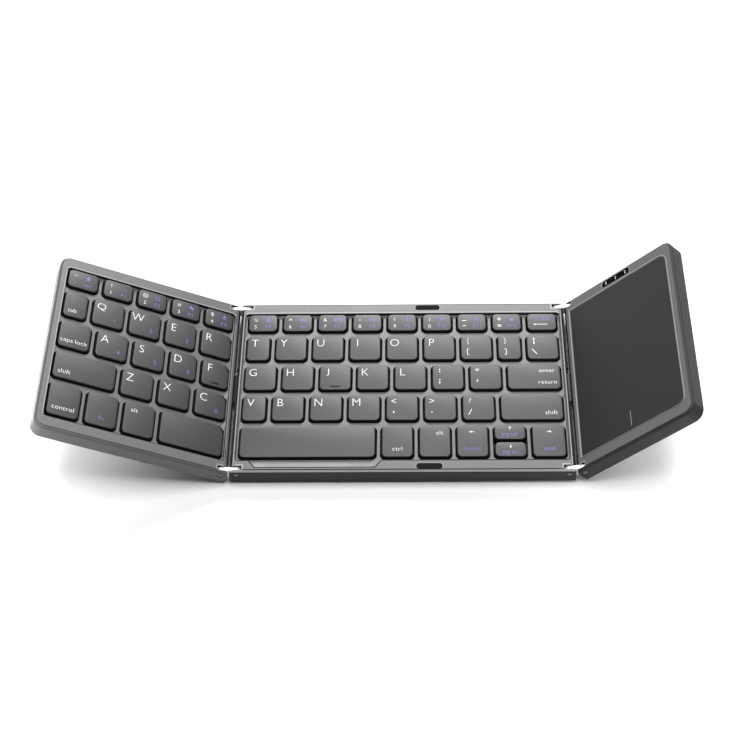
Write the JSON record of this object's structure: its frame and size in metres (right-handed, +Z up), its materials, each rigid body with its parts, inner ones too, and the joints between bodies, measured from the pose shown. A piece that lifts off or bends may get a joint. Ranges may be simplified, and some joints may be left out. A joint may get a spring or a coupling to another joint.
{
  "type": "folding keyboard",
  "caption": "Pocket keyboard in three hinged panels: letter keys on the left and middle panels, a touchpad on the right one, folding inwards on double-pin links.",
  "frame": {"origin": "centre of the whole part's footprint in the part-folded pose of the picture, at the underside of the middle panel's feet", "axes": "+X from the left panel to the right one along the rows of keys, +Y away from the typist, +Z up"},
  "size_m": [0.2882, 0.098, 0.0525],
  "materials": {
    "dark_shell": "fine satin moulding",
    "grey_bezel": "fine satin moulding",
    "dark_key": "soft-touch satin with printed legends",
    "grey_key": "soft-touch satin with printed legends",
    "zinc_plate": "zinc-plated sheet",
    "membrane_film": "printed film",
    "dome_rubber": "moulded silicone",
    "arm_nylon": "moulded nylon",
    "soft_rubber": "moulded",
    "black_screw": "black zinc",
    "pin_steel": "turned",
    "link_chrome": "polished",
    "ribbon_film": "coated flexible circuit",
    "pad_surface": "satin hard coat",
    "circuit_board": "solder mask",
    "cell_foil": "foil pouch",
    "lamp_window": "dark translucent",
    "socket_shell": "plated"
  },
  "bodies": {
    "middle_panel": {"middle_base": "dark_shell", "middle_frame": "grey_bezel", "middle_support_plate": "zinc_plate", "middle_membrane": "membrane_film", "middle_dome_mat": "dome_rubber", "middle_scissors": "arm_nylon", "fold_bumpers": "soft_rubber", "middle_feet": "soft_rubber", "middle_screws": "black_screw", "middle_hinge_pins": "pin_steel"},
    "left_link": {"left_links": "link_chrome", "left_ribbon": "ribbon_film"},
    "left_panel": {"left_base": "dark_shell", "left_frame": "grey_bezel", "left_support_plate": "zinc_plate", "left_membrane": "membrane_film", "left_dome_mat": "dome_rubber", "left_scissors": "arm_nylon", "left_feet": "soft_rubber", "left_screws": "black_screw", "left_hinge_pins": "pin_steel"},
    "right_link": {"right_links": "link_chrome", "right_ribbon": "ribbon_film"},
    "right_panel": {"right_base": "dark_shell", "right_frame": "grey_bezel", "touchpad": "pad_surface", "touch_sensor_board": "circuit_board", "main_board": "circuit_board", "battery_pack": "cell_foil", "indicator_window": "lamp_window", "charging_socket": "socket_shell", "right_feet": "soft_rubber", "right_screws": "black_screw", "right_hinge_pins": "pin_steel"},
    "right_number_keys": {"right_number_keys": "grey_key"},
    "backspace_key": {"backspace_key": "grey_key"},
    "tyuiop_keys": {"tyuiop_keys": "grey_key"},
    "bracket_keys": {"bracket_keys": "grey_key"},
    "ghjkl_keys": {"ghjkl_keys": "grey_key"},
    "quote_keys": {"quote_keys": "grey_key"},
    "enter_key": {"enter_key": "grey_key"},
    "vbnm_keys": {"vbnm_keys": "grey_key"},
    "comma_keys": {"comma_keys": "grey_key"},
    "right_shift_key": {"right_shift_key": "grey_key"},
    "right_space_key": {"right_space_key": "grey_key"},
    "right_modifier_keys": {"right_modifier_keys": "grey_key"},
    "left_arrow_key": {"left_arrow_key": "grey_key"},
    "up_arrow_key": {"up_arrow_key": "grey_key"},
    "down_arrow_key": {"down_arrow_key": "grey_key"},
    "right_arrow_key": {"right_arrow_key": "grey_key"},
    "left_number_keys": {"left_number_keys": "dark_key"},
    "tab_key": {"tab_key": "dark_key"},
    "qwer_keys": {"qwer_keys": "dark_key"},
    "caps_lock_key": {"caps_lock_key": "dark_key"},
    "asdf_keys": {"asdf_keys": "dark_key"},
    "left_shift_key": {"left_shift_key": "dark_key"},
    "zxc_keys": {"zxc_keys": "dark_key"},
    "left_modifier_keys": {"left_modifier_keys": "dark_key"},
    "left_space_key": {"left_space_key": "dark_key"}
  },
  "joints": [
    {"name": "left_link_fold", "type": "hinge", "parent": "middle_panel", "child": "left_link", "pos_m": [-0.05744, 0, 0.006], "axis": [0, 1, 0], "range_deg": [0, 90], "deforming": ["left_ribbon"]},
    {"name": "left_panel_fold", "type": "hinge", "parent": "left_link", "child": "left_panel", "pos_m": [-0.06444, 0, 0.006], "axis": [0, 1, 0], "range_deg": [-24.8, 65.2]},
    {"name": "right_link_fold", "type": "hinge", "parent": "middle_panel", "child": "right_link", "pos_m": [0.09026, 0, 0.006], "axis": [0, -1, 0], "range_deg": [-11, 79], "deforming": ["right_ribbon"]},
    {"name": "right_panel_fold", "type": "hinge", "parent": "right_link", "child": "right_panel", "pos_m": [0.09713, 0, 0.00734], "axis": [0, -1, 0], "range_deg": [-33.8, 56.2]},
    {"name": "left_number_keys_press", "type": "slide", "parent": "left_panel", "child": "left_number_keys", "axis": [-0.4195, 0, -0.9078], "range_m": [0, 0.0012], "stiffness_N_per_m": 400, "springref_m": -0.0005},
    {"name": "tab_key_press", "type": "slide", "parent": "left_panel", "child": "tab_key", "axis": [-0.4195, 0, -0.9078], "range_m": [0, 0.0012], "stiffness_N_per_m": 400, "springref_m": -0.0005},
    {"name": "qwer_keys_press", "type": "slide", "parent": "left_panel", "child": "qwer_keys", "axis": [-0.4195, 0, -0.9078], "range_m": [0, 0.0012], "stiffness_N_per_m": 400, "springref_m": -0.0005},
    {"name": "caps_lock_key_press", "type": "slide", "parent": "left_panel", "child": "caps_lock_key", "axis": [-0.4195, 0, -0.9078], "range_m": [0, 0.0012], "stiffness_N_per_m": 400, "springref_m": -0.0005},
    {"name": "asdf_keys_press", "type": "slide", "parent": "left_panel", "child": "asdf_keys", "axis": [-0.4195, 0, -0.9078], "range_m": [0, 0.0012], "stiffness_N_per_m": 400, "springref_m": -0.0005},
    {"name": "left_shift_key_press", "type": "slide", "parent": "left_panel", "child": "left_shift_key", "axis": [-0.4195, 0, -0.9078], "range_m": [0, 0.0012], "stiffness_N_per_m": 400, "springref_m": -0.0005},
    {"name": "zxc_keys_press", "type": "slide", "parent": "left_panel", "child": "zxc_keys", "axis": [-0.4195, 0, -0.9078], "range_m": [0, 0.0012], "stiffness_N_per_m": 400, "springref_m": -0.0005},
    {"name": "left_modifier_keys_press", "type": "slide", "parent": "left_panel", "child": "left_modifier_keys", "axis": [-0.4195, 0, -0.9078], "range_m": [0, 0.0012], "stiffness_N_per_m": 400, "springref_m": -0.0005},
    {"name": "left_space_key_press", "type": "slide", "parent": "left_panel", "child": "left_space_key", "axis": [-0.4195, 0, -0.9078], "range_m": [0, 0.0012], "stiffness_N_per_m": 400, "springref_m": -0.0005},
    {"name": "right_number_keys_press", "type": "slide", "parent": "middle_panel", "child": "right_number_keys", "axis": [0, 0, -1], "range_m": [0, 0.0012], "stiffness_N_per_m": 400, "springref_m": -0.0005},
    {"name": "backspace_key_press", "type": "slide", "parent": "middle_panel", "child": "backspace_key", "axis": [0, 0, -1], "range_m": [0, 0.0012], "stiffness_N_per_m": 400, "springref_m": -0.0005},
    {"name": "tyuiop_keys_press", "type": "slide", "parent": "middle_panel", "child": "tyuiop_keys", "axis": [0, 0, -1], "range_m": [0, 0.0012], "stiffness_N_per_m": 400, "springref_m": -0.0005},
    {"name": "bracket_keys_press", "type": "slide", "parent": "middle_panel", "child": "bracket_keys", "axis": [0, 0, -1], "range_m": [0, 0.0012], "stiffness_N_per_m": 400, "springref_m": -0.0005},
    {"name": "ghjkl_keys_press", "type": "slide", "parent": "middle_panel", "child": "ghjkl_keys", "axis": [0, 0, -1], "range_m": [0, 0.0012], "stiffness_N_per_m": 400, "springref_m": -0.0005},
    {"name": "quote_keys_press", "type": "slide", "parent": "middle_panel", "child": "quote_keys", "axis": [0, 0, -1], "range_m": [0, 0.0012], "stiffness_N_per_m": 400, "springref_m": -0.0005},
    {"name": "enter_key_press", "type": "slide", "parent": "middle_panel", "child": "enter_key", "axis": [0, 0, -1], "range_m": [0, 0.0012], "stiffness_N_per_m": 400, "springref_m": -0.0005},
    {"name": "vbnm_keys_press", "type": "slide", "parent": "middle_panel", "child": "vbnm_keys", "axis": [0, 0, -1], "range_m": [0, 0.0012], "stiffness_N_per_m": 400, "springref_m": -0.0005},
    {"name": "comma_keys_press", "type": "slide", "parent": "middle_panel", "child": "comma_keys", "axis": [0, 0, -1], "range_m": [0, 0.0012], "stiffness_N_per_m": 400, "springref_m": -0.0005},
    {"name": "right_shift_key_press", "type": "slide", "parent": "middle_panel", "child": "right_shift_key", "axis": [0, 0, -1], "range_m": [0, 0.0012], "stiffness_N_per_m": 400, "springref_m": -0.0005},
    {"name": "right_space_key_press", "type": "slide", "parent": "middle_panel", "child": "right_space_key", "axis": [0, 0, -1], "range_m": [0, 0.0012], "stiffness_N_per_m": 400, "springref_m": -0.0005},
    {"name": "right_modifier_keys_press", "type": "slide", "parent": "middle_panel", "child": "right_modifier_keys", "axis": [0, 0, -1], "range_m": [0, 0.0012], "stiffness_N_per_m": 400, "springref_m": -0.0005},
    {"name": "left_arrow_key_press", "type": "slide", "parent": "middle_panel", "child": "left_arrow_key", "axis": [0, 0, -1], "range_m": [0, 0.0012], "stiffness_N_per_m": 400, "springref_m": -0.0005},
    {"name": "up_arrow_key_press", "type": "slide", "parent": "middle_panel", "child": "up_arrow_key", "axis": [0, 0, -1], "range_m": [0, 0.0012], "stiffness_N_per_m": 400, "springref_m": -0.0005},
    {"name": "down_arrow_key_press", "type": "slide", "parent": "middle_panel", "child": "down_arrow_key", "axis": [0, 0, -1], "range_m": [0, 0.0012], "stiffness_N_per_m": 400, "springref_m": -0.0005},
    {"name": "right_arrow_key_press", "type": "slide", "parent": "middle_panel", "child": "right_arrow_key", "axis": [0, 0, -1], "range_m": [0, 0.0012], "stiffness_N_per_m": 400, "springref_m": -0.0005}
  ]
}
